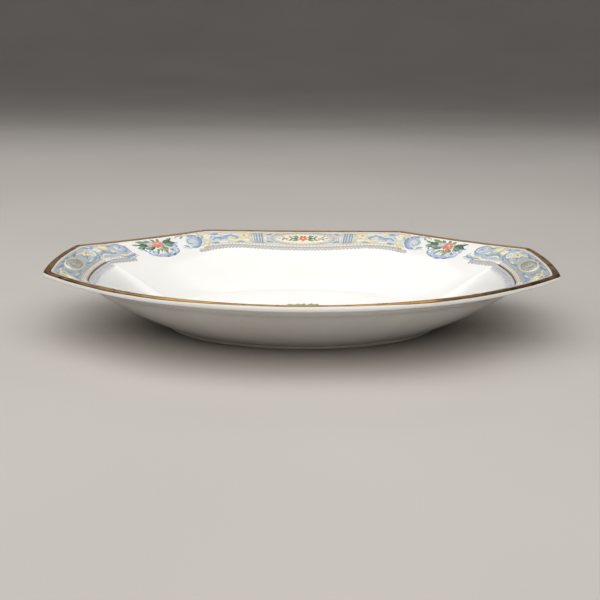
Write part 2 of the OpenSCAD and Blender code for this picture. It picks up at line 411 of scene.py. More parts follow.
class Print:
    def __init__(self, node, side, slot):
        self.node, self.side, self.slot, self.m = node, side, slot, 1.0
        self.ink, self.spread, self.dx, self.kw, self.off = {}, None, 0.0, 1.0, 0.0
        self.squeeze = None

    def _put(self, colour, xwh, faces):
        v, f = self.ink.setdefault(colour, ([], []))
        base = sum(len(a) for a in v)
        xwh = np.array(xwh, float)
        if self.spread is not None:
            xwh[:, 0] = np.sign(xwh[:, 0]) * np.interp(np.abs(xwh[:, 0]), *self.spread)
        xwh[:, 0] += self.dx
        xwh[:, 1] = 5.0 + (xwh[:, 1] - 5.0) * self.kw
        if self.squeeze is not None:
            xwh[:, 1] = 5.0 + (xwh[:, 1] - 5.0) * np.interp(np.abs(xwh[:, 0]), *self.squeeze)
        v.append(xwh)
        f.extend(tuple(base + i for i in face) for face in faces)

    def blob(self, colour, x, w, outline, dome=0.03, lift=0.0):
        """plate round the middle point, domed a little like a drop of enamel"""
        o = np.asarray(outline, float) * [self.m, 1]
        if np.sum(o[:, 0] * np.roll(o[:, 1], -1) - np.roll(o[:, 0], -1) * o[:, 1]) < 0:
            o = o[::-1]
        n, c = len(o), np.array([x * self.m, w])
        h = LAYER[colour] + lift
        mid = np.column_stack([c + o * 0.6, np.full(n, h + dome * 0.8)])
        rim = np.column_stack([c + o, np.full(n, h)])
        low = np.column_stack([c + o, np.full(n, SUNK)])
        xwh = np.vstack([[[c[0], c[1], h + dome]], mid, rim, low, [[c[0], c[1], SUNK]]])
        f = []
        for i in range(n):
            j = (i + 1) % n
            f += [(0, 1 + i, 1 + j), (1 + i, 1 + n + i, 1 + n + j, 1 + j),
                  (1 + n + i, 1 + 2 * n + i, 1 + 2 * n + j, 1 + n + j), (1 + 3 * n, 1 + 2 * n + j, 1 + 2 * n + i)]
        self._put(colour, xwh, f)

    def disc(self, colour, x, w, r, rw=None, n=12, lift=0.0, dome=0.03, rot=0.0):
        t = np.arange(n) / n * 2 * math.pi
        rw = rw or r
        ox, ow = r * np.cos(t), rw * np.sin(t)
        cr, sr = math.cos(rot), math.sin(rot)
        self.blob(colour, x, w, np.stack([ox * cr - ow * sr, ox * sr + ow * cr], 1), dome, lift)

    def strip(self, colour, path, width, lift=0.0, closed=False):
        """ribbon along the path, the width a number or one value for each point"""
        p = np.asarray(path, float) * [self.m, 1]
        n = len(p)
        hw = np.broadcast_to(np.asarray(width, float) / 2, (n,))
        d = (np.roll(p, -1, 0) - np.roll(p, 1, 0)) if closed else np.gradient(p, axis=0)
        d /= np.maximum(np.linalg.norm(d, axis=1, keepdims=True), 1e-9)
        nn = np.stack([-d[:, 1], d[:, 0]], 1) * hw[:, None]
        h = LAYER[colour] + lift
        L, R = p + nn, p - nn
        ridge = np.minimum(0.03, hw * 0.06)
        xwh = np.vstack([np.column_stack([L, np.full(n, h)]), np.column_stack([p, h + ridge]),
                         np.column_stack([R, np.full(n, h)]), np.column_stack([R, np.full(n, SUNK)]),
                         np.column_stack([L, np.full(n, SUNK)])])
        f = []
        for i in range(n if closed else n - 1):
            j = (i + 1) % n
            for a, b in ((1, 0), (2, 1), (3, 2), (4, 3), (0, 4)):
                f.append((a * n + i, a * n + j, b * n + j, b * n + i))
        if not closed:
            f += [tuple(a * n for a in (0, 4, 3, 2, 1)[::-1])[::-1], tuple(a * n + n - 1 for a in (0, 1, 2, 3, 4))[::-1]]
        self._put(colour, xwh, f)

    def patch(self, colour, x0, x1, lo, hi, step=1.0, lift=0.0, nw=None):
        """plate between two edges lo(x) and hi(x)"""
        nx = max(2, int(round((x1 - x0) / step)) + 1)
        xs = np.linspace(x0, x1, nx)
        a = np.array([lo(x) if callable(lo) else lo for x in xs])
        b = np.array([hi(x) if callable(hi) else hi for x in xs])
        nw = nw or max(2, int(np.max(b - a) / step) + 2)
        t = np.linspace(0, 1, nw)
        W = a[:, None] + (b - a)[:, None] * t
        X = np.repeat(xs[:, None], nw, 1) * self.m
        if self.m < 0:
            X, W = X[::-1], W[::-1]
        h = LAYER[colour] + lift
        top = np.stack([X, W, np.full(X.shape, h)], -1).reshape(-1, 3)
        bot = top.copy()
        bot[:, 2] = SUNK
        k, f = nx * nw, []
        g = lambda i, j: i * nw + j
        for i in range(nx - 1):
            for j in range(nw - 1):
                q = (g(i, j), g(i + 1, j), g(i + 1, j + 1), g(i, j + 1))
                f += [q, tuple(k + s for s in q[::-1])]
        edge = [g(i, 0) for i in range(nx)] + [g(nx - 1, j) for j in range(1, nw)]
        edge += [g(i, nw - 1) for i in range(nx - 2, -1, -1)] + [g(0, j) for j in range(nw - 2, 0, -1)]
        for s, e2 in zip(edge, edge[1:] + edge[:1]):
            f.append((s, s + k, e2 + k, e2))
        self._put(colour, np.vstack([top, bot]), f)

    # ---- motifs
    def leaf(self, colour, x, w, ang, length, width, bend=0.0, vein=None, lift=0.0, n=9):
        """pointed leaf that starts at (x, w) and runs along ang (degrees), bent to one side"""
        t = np.linspace(0, 1, n)
        a = math.radians(ang)
        u, s = t * length, bend * length * np.sin(math.pi * t) * 0.5
        path = np.stack([x + u * math.cos(a) - s * math.sin(a), w + u * math.sin(a) + s * math.cos(a)], 1)
        wd = width * (np.sin(math.pi * np.clip(t, 0, 1) ** 0.8) ** 0.85) + 0.06
        self.strip(colour, path, wd, lift)
        if vein:
            self.strip(vein, path[1:-2], 0.16, lift=LAYER[colour] - LAYER[vein] + lift + 0.035)

    def stroke(self, colour, pts, width, taper=(0.15, 0.15), n=22, lift=0.0):
        p = curve(pts, n)
        t = np.linspace(0, 1, n)
        wd = width * (taper[0] + (1 - taper[0]) * np.minimum(1, t / 0.4)) * (taper[1] + (1 - taper[1]) * np.minimum(1, (1 - t) / 0.4))
        self.strip(colour, p, np.maximum(wd, 0.08), lift)

    def spiral(self, colour, x, w, r, turns, start, width, eye=None, hand=1, n=30, lift=0.0):
        """scroll that winds in from radius r to its eye"""
        t = np.linspace(0, 1, n)
        rad = r * (1 - t) ** 0.8 + 0.22 * r * t
        a = math.radians(start) + hand * turns * 2 * math.pi * t
        self.strip(colour, np.stack([x + rad * np.cos(a), w + rad * np.sin(a)], 1), width * (1 - 0.55 * t), lift)
        self.disc(eye or colour, x + rad[-1] * math.cos(a[-1]) * 0.4, w + rad[-1] * math.sin(a[-1]) * 0.4, r * 0.24, n=8,
                  lift=lift + 0.004)

    def flower(self, colour, centre, x, w, r, petals=5, turn=0.0, shade_c=None, squash=1.0):
        t = np.arange(10) / 10 * 2 * math.pi
        for k in range(petals):
            a = turn + 2 * math.pi * k / petals
            px, pw = 0.58 * r * np.cos(t), 0.42 * r * np.sin(t)
            o = np.stack([px * math.cos(a) - pw * math.sin(a), (px * math.sin(a) + pw * math.cos(a)) * squash], 1)
            self.blob(colour, x + 0.55 * r * math.cos(a), w + 0.55 * r * math.sin(a) * squash, o, lift=0.003 * (k % 2))
        if shade_c:
            for k in range(petals):
                a = turn + 2 * math.pi * (k + 0.5) / petals
                self.leaf(shade_c, x, w, math.degrees(a), r * 0.72, r * 0.16, lift=LAYER[colour] - LAYER[shade_c] + 0.04, n=5)
        self.disc(centre, x, w, 0.27 * r, 0.27 * r * squash, n=8, lift=max(0, LAYER[colour] - LAYER[centre]) + 0.05)

    def ring(self, colour, x, w, rx, rw, width, n=56, lift=0.0):
        t = np.arange(n) / n * 2 * math.pi
        self.strip(colour, np.stack([x + rx * np.cos(t), w + rw * np.sin(t)], 1), width, lift, closed=True)

    def row(self, colour, x0, x1, step, fn):
        n = int(round((x1 - x0) / step))
        for k in range(n + 1):
            fn(colour, x0 + (x1 - x0) * k / n, k)

    def finish(self):
        for colour, (v, f) in self.ink.items():
            p = np.vstack(v)
            if self.side is None:
                q = np.column_stack([p[:, 0], p[:, 1], FLOOR_Z + p[:, 2]])
            else:
                q = on_bowl(self.side, p[:, 0], p[:, 1], p[:, 2])
            ob = make(self.node + "_" + colour, q, f, [INKS[colour]])
            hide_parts(self.node)
            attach(ob, "root")


def both(p, fn):
    for m in (1.0, -1.0):
        p.m = m
        fn(p)
    p.m = 1.0


def end_half(p):
    """one half of the border on an end, from the medallion to the scroll on the diagonal"""
    # the motifs are drawn close together and spread out towards the scroll
    p.spread = ((0, 11.5, 17, 32.4, 41.4, 49, 52), (0, 11.5, 23.6, 38.0, 46.9, 52.0, 54.6))
    p.dx = p.off
    # corner leaves round the medallion
    p.leaf("blue", 8.0, 6.1, -8, 6.5, 1.3, 0.3)
    p.leaf("blue", 8.0, 14.8, 10, 6.0, 1.3, -0.3)
    p.leaf("blue", 1.0, 5.6, 0, 5.6, 0.8, 0.1)
    p.leaf("cream", 12.8, 6.4, 20, 3.6, 0.9, 0.2)
    p.leaf("cream", 12.4, 14.9, -14, 3.6, 0.9, -0.2)
    p.leaf("blue", 13.8, 8.6, 55, 3.6, 1.2, 0.3)
    p.leaf("blue", 14.0, 12.4, -50, 3.4, 1.1, -0.3)
    # flower beside the medallion, with its scrolls
    p.flower("yellow", "olive", 16.6, 9.2, 1.9, 5, 0.3, squash=1.05)
    p.leaf("cream", 17.5, 9.8, 60, 3.0, 1.2, 0.3)
    p.leaf("cream", 18.8, 7.4, -20, 3.4, 1.0, 0.2)
    p.stroke("blue", [(14.4, 15.4), (17.5, 14.2), (20.5, 14.8), (23.5, 12.6), (25.0, 9.4)], 1.9)
    p.stroke("cream", [(15.4, 13.2), (18.5, 12.3), (21.4, 12.8), (23.3, 10.9), (22.2, 8.8), (20.4, 9.6)], 0.85)
    p.spiral("cream", 20.9, 10.2, 1.9, 0.9, 200, 0.6, hand=-1)
    p.leaf("blue", 20.2, 6.1, 14, 4.6, 1.5, -0.2)
    p.leaf("lilac", 18.4, 15.4, -24, 3.4, 0.8, 0.2)
    # middle bloom
    p.flower("cream", "yellow", 27.0, 9.1, 2.0, 6, 0.1)
    p.leaf("blue", 24.8, 7.1, -40, 3.0, 1.1, 0.3)
    p.stroke("cream", [(24.5, 15.5), (27.0, 13.3), (30.0, 13.6), (33.0, 15.0)], 1.1)
    p.stroke("blue", [(24.4, 14.0), (27.4, 11.8), (30.2, 11.6), (33.6, 13.2), (36.2, 12.2)], 1.7)
    p.leaf("lilac", 27.6, 15.6, -18, 4.2, 0.9, 0.2)
    p.leaf("cream", 28.6, 6.0, 25, 3.2, 0.9, 0.2)
    p.leaf("olive", 29.2, 11.0, -55, 2.6, 0.7, 0.2)
    # large yellow flower
    p.flower("yellow", "cream", 32.4, 7.6, 2.4, 5, 0.9, squash=0.95)
    p.leaf("yellow", 31.2, 6.2, -60, 1.9, 1.0)
    p.leaf("blue", 34.4, 6.3, 20, 3.4, 1.3, -0.2)
    p.leaf("cream", 34.9, 9.8, 50, 3.4, 1.3, 0.3)
    # scroll that closes the panel
    p.stroke("blue", [(36.2, 7.0), (38.8, 5.5), (42.2, 5.8), (44.8, 8.2), (44.6, 11.0), (42.0, 12.6), (39.2, 12.6)], 1.5)
    p.disc("pale", 41.2, 9.2, 2.6, 2.9, n=14, lift=0.03)
    p.flower("lilac", "navy", 41.2, 8.6, 1.9, 5, 0.2, squash=1.2)
    p.stroke("lilac", [(37.4, 12.9), (39.6, 14.2), (42.4, 13.6)], 1.0)
    p.stroke("cream", [(38.2, 10.8), (38.8, 7.8), (41.2, 6.6), (43.4, 8.0), (43.4, 10.8)], 0.7)
    p.leaf("yellow", 36.4, 14.9, 8, 5.6, 1.7, 0.1)
    p.leaf("mauve", 42.2, 15.1, 5, 3.4, 0.8, 0.2)
    p.stroke("blue", [(35.0, 16.9), (39.0, 16.9), (43.0, 16.3), (46.4, 16.0), (49.2, 17.3)], 1.9, (0.2, 0.1))
    for k, (x, w, a) in enumerate([(38.4, 17.1, 35), (41.4, 16.8, 38), (44.2, 16.5, 40), (46.2, 15.9, -38), (43.4, 15.8, -30)]):
        p.leaf("grey" if k % 2 else "blue", x, w, a, 2.5, 1.0, 0.2)
    p.leaf("grey", 46.6, 12.4, 70, 3.2, 0.7, 0.3)
    p.spread, p.dx = None, 0.0
    # inner grey scallops on the diagonal
    p.patch("grey", 26.6, 46.4, lambda x: 19.2 - 0.9 * min(1, (x - 26.6) / 5), lambda x: 20.4 - 1.2 * max(0, (x - 42.5) / 4), 0.7)
    p.row("grey", 28.0, 44.4, 2.2, lambda c, x, k: p.disc(c, x, 20.3, 1.05, 1.1, n=10, dome=0.0, lift=-0.004))
    p.stroke("tan", [(26.5, 18.9), (32, 18.1), (40, 18.0), (46.4, 18.4)], 0.5)
    p.patch("cream", 25.5, 41.0, 16.2, lambda x: 17.9 - 0.1 * (x - 25.5), 0.8)
    p.row("tan", 26.2, 37.0, 1.8, lambda c, x, k: p.disc(c, x, 17.0, 0.4, n=7, dome=0.0, lift=0.036))


def end_border(p):
    def hi(x):
        return 16.5 if abs(x) < 39 else 16.5 - 3.0 * (abs(x) - 39) / 10
    def lo(x):
        return 4.65 if abs(x) < 41 else 4.65 + 3.2 * (abs(x) - 41) / 8
    p.patch("ground", -48.6, 48.6, lo, hi, 0.8)
    p.dx = p.off
    p.strip("cream", curve([(x, 4.12) for x in np.linspace(-50, 50, 40)], 160), 0.55)
    p.strip("grey", curve([(x, 4.75) for x in np.linspace(-42, 42, 30)], 130), 0.22, lift=0.02)
    # medallion
    p.disc("cream", 0, 10.3, 11.4, 4.6, n=44, dome=0.0, lift=-0.012)
    p.ring("sage", 0, 10.3, 12.0, 4.9, 0.9, lift=0.0)
    p.ring("grey", 0, 10.3, 12.9, 5.4, 0.3, lift=0.01)
    p.ring("olive", 0, 10.3, 8.7, 3.45, 0.3)
    p.disc("sage", 0, 10.3, 8.6, 3.4, n=40, dome=0.0, lift=0.02)
    for a in np.arange(30) / 30 * 2 * math.pi:
        p.disc("sage", 10.3 * math.cos(a), 10.3 + 4.05 * math.sin(a), 0.27, n=7, dome=0.0, lift=0.03)
    p.flower("mauve", "yellow", 0, 10.3, 1.5, 6, 0.2, shade_c="brown")
    for s in (1, -1):
        for x, w, a, l in ((1.6, 9.5, -24, 2.8), (1.7, 11.1, 26, 2.6), (1.9, 10.3, 2, 3.4), (4.4, 9.8, -30, 2.2), (4.6, 10.9, 28, 2.1), (5.9, 10.3, 0, 2.0)):
            p.leaf("olive", s * x, w, a if s > 0 else 180 - a, l, 0.9, 0.15 * s)
        p.disc("grey", s * 3.6, 8.6, 0.5, n=8, lift=0.04)
        p.disc("grey", s * 3.8, 12.0, 0.5, n=8, lift=0.04)
        p.disc("tan", s * 1.0, 8.0, 0.45, n=8, lift=0.04)
        p.disc("tan", s * 1.2, 12.6, 0.45, n=8, lift=0.04)
    p.dx = 0.0
    # bands inside the panel
    p.patch("cream", -25.5, 25.5, 16.55, 18.75, 0.8)
    p.strip("tan", curve([(x, 16.9) for x in np.linspace(-26, 26, 24)], 90), 0.35, lift=0.036)
    p.strip("tan", curve([(x, 18.45) for x in np.linspace(-26, 26, 24)], 90), 0.22, lift=0.036)
    p.row("tan", -24.6, 24.6, 1.8, lambda c, x, k: p.disc(c, x, 17.7, 0.42, n=7, dome=0.0, lift=0.036))
    wd = 0.6 * np.clip((28.5 - np.abs(np.linspace(-28.5, 28.5, 100))) / 4.5, 0.12, 1)
    p.strip("brown", curve([(x, 19.15) for x in np.linspace(-28.5, 28.5, 30)], 100), wd)
    p.patch("pale", -26.8, 26.8, 19.5, 20.9, 0.7)

    def fringe(c, x, k):
        l = 2.9 + 0.5 * math.sin(k * 2.4) - 0.9 * max(0, (abs(x) - 20) / 7)
        p.strip(c, [(x, 20.7), (x, 20.7 + l * 0.5), (x * 1.0, 20.7 + l)], [0.6, 0.42, 0.1], lift=-0.006)
        if k % 5 == 2:
            p.disc("lilac", x, 22.2, 0.34, 0.6, n=7, dome=0.0)
    p.row("grey", -26.4, 26.4, 0.8, fringe)
    both(p, end_half)


def long_half(p):
    # spandrels of the centre medallion
    p.leaf("tan", 12.0, 5.7, 2, 6.0, 0.9, 0.2)
    p.leaf("tan", 12.0, 15.0, -4, 6.0, 0.9, -0.2)
    p.leaf("olive", 17.4, 6.1, 12, 4.4, 1.2, 0.2)
    p.leaf("olive", 17.4, 14.7, -10, 4.4, 1.1, -0.2)
    p.leaf("cream", 19.8, 8.4, 30, 2.8, 1.1)
    p.leaf("cream", 19.8, 12.6, -30, 2.8, 1.1)
    # barred cartouche
    p.patch("blue", 23.4, 28.4, 6.4, 14.8, 0.9)
    for x, ww in ((24.4, 0.5), (26.0, 0.7), (27.6, 0.5)):
        p.strip("cream", [(x, 6.5), (x, 10.6), (x, 14.7)], ww, lift=0.045)
    p.strip("tan", [(22.8, 5.9), (25.9, 5.7), (29.2, 5.9)], 0.8)
    p.strip("tan", [(22.8, 15.2), (25.9, 15.4), (29.2, 15.2)], 0.8)
    p.strip("cream", [(22.1, 6.2), (21.8, 10.5), (22.1, 15.0)], 1.3)
    p.strip("lilac", [(20.7, 6.4), (20.4, 10.5), (20.7, 14.8)], 0.5)
    p.strip("yellow", [(30.0, 6.2), (30.3, 10.5), (30.0, 15.0)], 1.5)
    # ring flower and the scrolls that follow it
    p.leaf("cream", 31.0, 13.2, -20, 5.6, 2.6, 0.2)
    p.flower("yellow", "olive", 34.0, 8.2, 2.9, 6, 0.2, squash=0.85)
    p.leaf("cream", 36.0, 6.6, -8, 4.6, 1.8, 0.3)
    p.leaf("cream", 31.8, 11.6, 35, 3.6, 1.6, 0.3)
    p.stroke("yellow", [(33.0, 15.2), (36.2, 12.7), (39.4, 13.9), (42.4, 12.6), (43.4, 9.6)], 2.6)
    p.leaf("blue", 34.2, 15.4, 10, 5.4, 1.3, -0.3)
    p.leaf("olive", 37.4, 10.4, 36, 2.6, 0.9)
    p.leaf("blue", 37.6, 9.6, -18, 4.2, 1.5, 0.3)
    p.stroke("blue", [(40.4, 7.6), (43.6, 9.2), (46.8, 11.4), (50.4, 10.9), (53.0, 13.0)], 2.3)
    p.leaf("lilac", 42.6, 11.0, -8, 4.6, 1.4, 0.3)
    p.leaf("cream", 43.6, 14.4, -5, 6.6, 2.3, 0.2)
    p.leaf("cream", 47.4, 8.4, 8, 3.8, 1.5, 0.2)
    p.stroke("cream", [(41.4, 5.8), (44.6, 7.2), (47.8, 6.1), (49.6, 8.0)], 1.7)
    p.leaf("yellow", 44.8, 5.7, 8, 4.0, 1.4)
    p.leaf("blue", 48.2, 6.3, 8, 5.2, 1.9, 0.2)
    p.leaf("lilac", 52.4, 9.4, 40, 2.8, 1.0)
    p.flower("cream", "yellow", 55.2, 9.3, 2.5, 6, 0.4)
    p.leaf("blue", 49.4, 15.2, 4, 4.8, 1.6, 0.2)
    p.leaf("yellow", 54.4, 12.8, 26, 4.6, 2.2, 0.3)
    p.leaf("yellow", 54.2, 5.8, 4, 5.6, 2.0, 0.1)
    p.leaf("tan", 58.4, 7.4, 70, 4.0, 0.9, 0.3)
    p.disc("mauve", 53.8, 6.9, 0.7, n=8)
    p.disc("mauve", 48.4, 13.2, 0.6, n=8)
    p.leaf("yellow", 55.8, 16.2, 8, 5.6, 2.4, 0.1)
    p.leaf("cream", 59.0, 13.4, 35, 3.6, 1.6, 0.2)
    p.leaf("yellow", 59.6, 5.9, 55, 3.2, 1.4, -0.3)
    # large scroll that closes the panel, open towards the bouquet
    c = np.array([65.6, 11.4])
    ang = np.radians(np.linspace(-70, -290, 26))
    th = np.sin(math.pi * np.linspace(0, 1, 26)) ** 0.7
    arc = np.stack([c[0] + 4.6 * np.cos(ang), c[1] + 5.2 * np.sin(ang)], 1)
    p.strip("blue", arc, 2.6 * th + 0.5)
    ar2 = np.stack([c[0] + 0.3 + 4.0 * np.cos(ang), c[1] + 4.6 * np.sin(ang)], 1)
    p.strip("lilac", ar2[3:-3], 1.3 * th[3:-3] + 0.1)
    p.disc("pale", 65.8, 11.5, 3.6, 4.2, n=16, dome=0.0)
    p.stroke("blue", [(65.0, 8.8), (67.6, 9.6), (68.0, 12.2), (65.8, 13.8), (64.2, 12.4)], 0.8)
    p.stroke("grey", [(66.6, 6.0), (69.4, 4.9), (72.4, 4.9), (74.4, 6.6)], 1.5)
    p.leaf("blue", 69.6, 5.4, 42, 3.2, 1.1, 0.3)
    p.leaf("grey", 64.6, 5.8, -30, 3.6, 1.2, -0.2)
    p.stroke("pale", [(65.4, 16.6), (68.4, 16.8), (71.0, 15.8), (73.4, 15.9)], 1.5, (0.3, 0.1))
    p.leaf("blue", 68.6, 16.2, -28, 4.2, 1.1, -0.3)
    p.leaf("grey", 61.2, 9.2, 84, 5.2, 0.7, 0.2)
    # beaded edge continues under the scroll
    p.patch("grey", 58.0, 63.6, 18.6, lambda x: 20.2, 0.8)
    p.row("grey", 59.0, 63.3, 2.15, lambda c_, x, k: p.disc(c_, x, 20.2, 1.0, 1.15, n=10, dome=0.0, lift=-0.004))


def long_border(p):
    def hi(x):
        return 16.9 if abs(x) < 52 else 16.9 - 0.6 * (abs(x) - 52) / 9
    def lo(x):
        return 4.5
    # the inner edge of the print waves in and out
    q = np.linspace(0, 76, 60)
    p.squeeze = (q, np.interp(q, (0, 14, 26, 37, 45, 53, 60, 76), (1.0, 0.985, 0.92, 0.86, 0.885, 0.96, 1.0, 1.0)))
    p.patch("pale", -61, 61, lo, hi, 0.8)
    p.strip("cream", curve([(x, 4.12) for x in np.linspace(-64, 64, 50)], 200), 0.6)
    # medallion
    p.disc("cream", 0, 10.6, 18.0, 5.5, n=56, dome=0.0, lift=-0.012)
    p.ring("sage", 0, 10.6, 18.2, 5.6, 0.7, lift=0.03)
    p.ring("tan", 0, 10.6, 19.2, 6.1, 0.3, lift=0.02)
    p.ring("sage", 0, 10.6, 16.2, 4.3, 0.3, lift=0.03)
    for k in range(44):
        a = 2 * math.pi * (k + 0.5) / 44
        p.disc("sage", 17.2 * math.cos(a), 10.6 + 4.95 * math.sin(a), 0.3, n=7, dome=0.0, lift=0.03)
    p.flower("orange", "yellow", 0, 10.4, 2.3, 5, 0.3)
    for s in (1, -1):
        for c, x, w, a, l, wd in (("green", 2.4, 9.6, -22, 4.0, 1.5), ("green", 2.6, 11.2, 20, 4.2, 1.5), ("dark", 3.0, 10.4, 0, 4.2, 1.1),
                                  ("green", 6.0, 9.8, -30, 2.8, 1.1), ("green", 6.2, 11.0, 28, 3.0, 1.2), ("olive", 8.4, 10.4, 4, 4.6, 1.0),
                                  ("olive", 10.4, 9.9, -34, 2.6, 0.8), ("olive", 10.8, 10.9, 30, 2.6, 0.8), ("olive", 12.8, 10.4, 0, 2.2, 0.7)):
            p.leaf(c, s * x, w, a if s > 0 else 180 - a, l, wd, 0.15 * s)
        p.disc("blue", s * 3.9, 8.2, 0.75, n=8, lift=0.02)
        p.disc("yellow", s * 5.0, 12.7, 0.6, n=8)
        p.disc("mauve", s * 7.4, 8.6, 0.6, n=8)
        p.disc("orange", s * 9.4, 11.9, 0.45, n=8)
    # beaded edge, then scallops
    p.patch("cream", -59, 59, 16.3, 17.9, 0.8)
    p.row("tan", -58, 58, 2.0, lambda c, x, k: p.disc(c, x, 17.05, 0.42, n=7, dome=0.0, lift=0.036))
    p.patch("grey", -58, 58, 18.55, 20.2, 0.8)
    p.row("grey", -57.5, 57.5, 2.15, lambda c, x, k: p.disc(c, x, 20.2, 1.0, 1.15, n=10, dome=0.0, lift=-0.004))
    p.row("cream", -57.5, 57.5, 2.15, lambda c, x, k: p.disc(c, x, 19.8, 0.38, 0.42, n=7, dome=0.0, lift=0.004))
    p.strip("tan", curve([(x, 18.3) for x in np.linspace(-60, 60, 50)], 180), 0.55)
    both(p, long_half)


def bouquet(p):
    """loose bunch over a scrolled bracket, its longer leaves always to the same hand, as a transfer gives it"""
    p.kw = 0.93
    # soft wash under the flowers and inside the bracket
    for x, w, r, q in ((5.6, 17.4, 2.0, 1.7), (-5.4, 17.6, 2.0, 1.7), (0.6, 19.6, 2.6, 1.2)):
        p.disc("pale", x, w, r, q, n=14, dome=0.0)
    p.blob("pale", 2.4, 10.2, [(9.6 * math.cos(t), 3.2 * math.sin(t)) for t in np.arange(22) / 22 * 2 * math.pi], dome=0.0, lift=0.006)
    for x, w, r in ((7.4, 13.4, 1.8), (-5.2, 13.6, 1.5), (11.2, 12.6, 1.1)):
        p.disc("mauve", x, w, r, r * 0.8, n=9, lift=-0.09, dome=0.01)
    # leaves
    for c, x, w, a, l, wd, b in (("dark", -2.6, 9.6, 172, 6.6, 3.2, 0.2), ("dark", -3.4, 8.2, 196, 5.4, 2.4, -0.2), ("green", -3.0, 11.2, 158, 6.0, 2.4, 0.2),
                                 ("green", -6.0, 7.4, 200, 3.8, 1.6, 0.1), ("dark", -6.0, 10.8, 176, 4.0, 2.0, 0.2), ("navy", -3.8, 12.4, 150, 3.6, 1.3, 0.2),
                                 ("green", -1.0, 7.4, 250, 2.6, 1.6, 0.2), ("green", 1.4, 7.4, 292, 3.0, 1.7, -0.2), ("green", 3.6, 7.2, 318, 3.6, 1.7, 0.2),
                                 ("green", 3.6, 11.6, 14, 6.4, 2.8, 0.2), ("dark", 3.4, 12.4, 34, 4.6, 2.2, -0.2), ("dark", 6.6, 9.4, 352, 5.8, 2.6, 0.2),
                                 ("green", 7.6, 8.0, 330, 4.6, 2.2, -0.2), ("green", 8.6, 10.8, 10, 5.4, 2.4, 0.2), ("green", 5.8, 7.6, 322, 3.8, 1.6, 0.2),
                                 ("dark", 9.6, 11.6, 26, 3.4, 1.6, 0.2), ("navy", 6.6, 10.4, 4, 3.4, 1.3, 0.2), ("green", 11.6, 8.8, 344, 3.4, 1.5, 0.2),
                                 ("green", -1.8, 13.2, 118, 3.4, 1.4, 0.2), ("green", 2.2, 14.6, 60, 3.6, 1.4, -0.2)):
        p.leaf(c, x, w, a, l, wd, b)
    # rose and small flowers
    p.flower("orange", "yellow", 0.4, 9.8, 2.5, 5, 0.5, shade_c="mauve", squash=0.95)
    p.flower("orange", "orange", 1.6, 11.4, 1.9, 5, 0.2, squash=0.9)
    p.flower("orange", "yellow", -1.0, 11.6, 1.4, 5, 0.4, squash=0.9)
    p.flower("mauve", "yellow", 4.2, 9.4, 1.8, 5, 0.1)
    p.flower("mauve", "yellow", 5.4, 11.4, 1.4, 5, 0.6)
    p.flower("lilac", "yellow", -8.4, 13.0, 1.5, 5, 0.2)
    p.flower("lilac", "yellow", 12.2, 12.8, 1.2, 5, 0.4)
    p.disc("lilac", -10.6, 11.0, 0.7, n=8)
    p.disc("blue", 4.6, 6.2, 0.6, n=8)
    # stem
    p.stroke("olive", [(-0.8, 12.4), (-0.8, 14.6), (-1.0, 17.2), (-1.2, 20.0)], 2.6, (0.6, 0.4))
    p.stroke("tan", [(-2.0, 12.6), (-2.4, 15.0), (-2.6, 18.0)], 0.7)
    p.leaf("olive", 1.4, 13.6, 84, 4.2, 1.1, 0.2)
    # scrolled bracket
    p.spiral("lilac", -6.6, 17.0, 2.6, 0.95, 60, 1.2, eye="blue", hand=1)
    p.spiral("lilac", 7.4, 16.8, 2.6, 0.95, 120, 1.2, eye="blue", hand=-1)
    p.stroke("blue", [(-9.4, 16.0), (-8.8, 18.8), (-5.8, 20.3), (-2.6, 20.8), (0.6, 21.8), (3.4, 21.0), (6.6, 20.4), (9.6, 18.7), (10.4, 16.2)], 1.5, (0.2, 0.2), n=40)
    p.stroke("lilac", [(-4.6, 18.8), (-1.6, 19.6), (0.8, 20.6), (3.2, 19.6), (5.8, 19.0)], 1.5, n=28)
    p.leaf("lilac", -4.2, 19.8, 30, 3.6, 1.6, 0.2)
    p.leaf("lilac", 4.8, 19.8, 150, 3.6, 1.6, -0.2)
    p.leaf("navy", -5.8, 19.6, 30, 4.2, 1.2, 0.2)
    p.leaf("navy", 0.2, 20.6, 60, 2.4, 1.0, 0.2)
    p.leaf("blue", -9.2, 15.4, 250, 2.4, 1.0, 0.2)
    p.leaf("blue", 10.2, 15.8, 290, 2.6, 1.0, 0.2)
    p.leaf("green", -4.4, 15.4, 110, 2.6, 1.0, 0.2)
    p.leaf("green", 4.2, 16.6, 60, 2.8, 1.0, 0.2)


